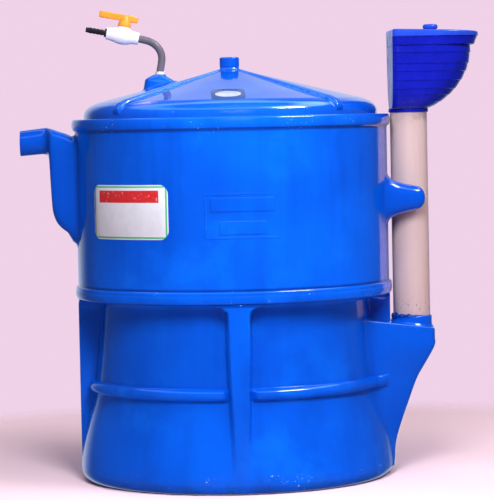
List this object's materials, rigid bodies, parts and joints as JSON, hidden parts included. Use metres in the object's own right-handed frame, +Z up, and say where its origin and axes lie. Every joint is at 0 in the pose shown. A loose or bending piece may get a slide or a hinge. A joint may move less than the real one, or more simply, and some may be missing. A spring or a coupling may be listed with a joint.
{
  "type": "biogas digester",
  "caption": "Household biogas digester: round moulded tank with a floating ribbed gas holder, covered feed hopper on a side pipe, overflow spout and a gas valve.",
  "frame": {"origin": "on the tank's axis, on the ground", "axes": "+Z up, -Y the front as pictured, +X toward the feed pipe, -X toward the overflow spout"},
  "size_m": [1.55, 1.072, 1.5747],
  "materials": {
    "body_blue": "glossy blue gelcoat on fibre-reinforced plastic, lightly scuffed",
    "hopper_blue": "ultramarine moulded plastic",
    "pvc_cream": "cream-white drain pipe",
    "valve_white": "white moulded plastic",
    "handle_orange": "orange moulded plastic",
    "nozzle_black": "black moulded plastic",
    "pipe_grey": "grey pressure pipe, bent hot",
    "thread_white": "off-white thread tape and sealant"
  },
  "bodies": {
    "digester": {"tank_floor": "body_blue", "lower_panel_back_right": "body_blue", "lower_panel_back_left": "body_blue", "lower_panel_front_left": "body_blue", "lower_panel_front_right": "body_blue", "column_rib_front": "body_blue", "column_rib_left": "body_blue", "column_rib_back": "body_blue", "column_rib_right": "body_blue", "belt_rib_back_right": "body_blue", "belt_rib_back_left": "body_blue", "belt_rib_front_left": "body_blue", "belt_rib_front_right": "body_blue", "ledge_ring": "body_blue", "mid_bead": "body_blue", "upper_wall_back_right": "body_blue", "upper_wall_back_left": "body_blue", "upper_wall_front_left": "body_blue", "upper_wall_front_right": "body_blue", "rim_roll": "body_blue", "outlet_chamber": "body_blue", "outlet_spout": "body_blue", "inlet_pocket": "body_blue", "inlet_socket": "body_blue", "feed_pipe": "pvc_cream", "pipe_lug_front": "body_blue", "pipe_lug_back": "body_blue", "hopper_body": "hopper_blue", "hopper_rim": "hopper_blue", "hopper_collar": "hopper_blue"},
    "gas_holder": {"holder_skirt": "body_blue", "holder_dome": "body_blue", "dome_rib_back_right": "body_blue", "dome_rib_back_left": "body_blue", "dome_rib_front_left": "body_blue", "dome_rib_front_right": "body_blue", "dome_stub": "body_blue", "stub_cap": "body_blue", "gas_boss": "body_blue", "thread_collar": "thread_white", "gas_pipe": "pipe_grey", "valve_body": "valve_white", "hose_nozzle": "nozzle_black"},
    "valve_lever": {"valve_handle": "handle_orange"},
    "hopper_lid": {"lid_plate": "hopper_blue", "lid_knob": "hopper_blue"}
  },
  "joints": [
    {"name": "holder_rise", "type": "slide", "parent": "digester", "child": "gas_holder", "axis": [0, 0, 1], "range_m": [0, 0.45]},
    {"name": "valve_turn", "type": "hinge", "parent": "gas_holder", "child": "valve_lever", "pos_m": [-0.35102, 0, 1.51892], "axis": [0.1908, 0, 0.9816], "range_deg": [0, 90]},
    {"name": "lid_lift", "type": "slide", "parent": "digester", "child": "hopper_lid", "axis": [0, 0, 1], "range_m": [0, 0.25]}
  ]
}
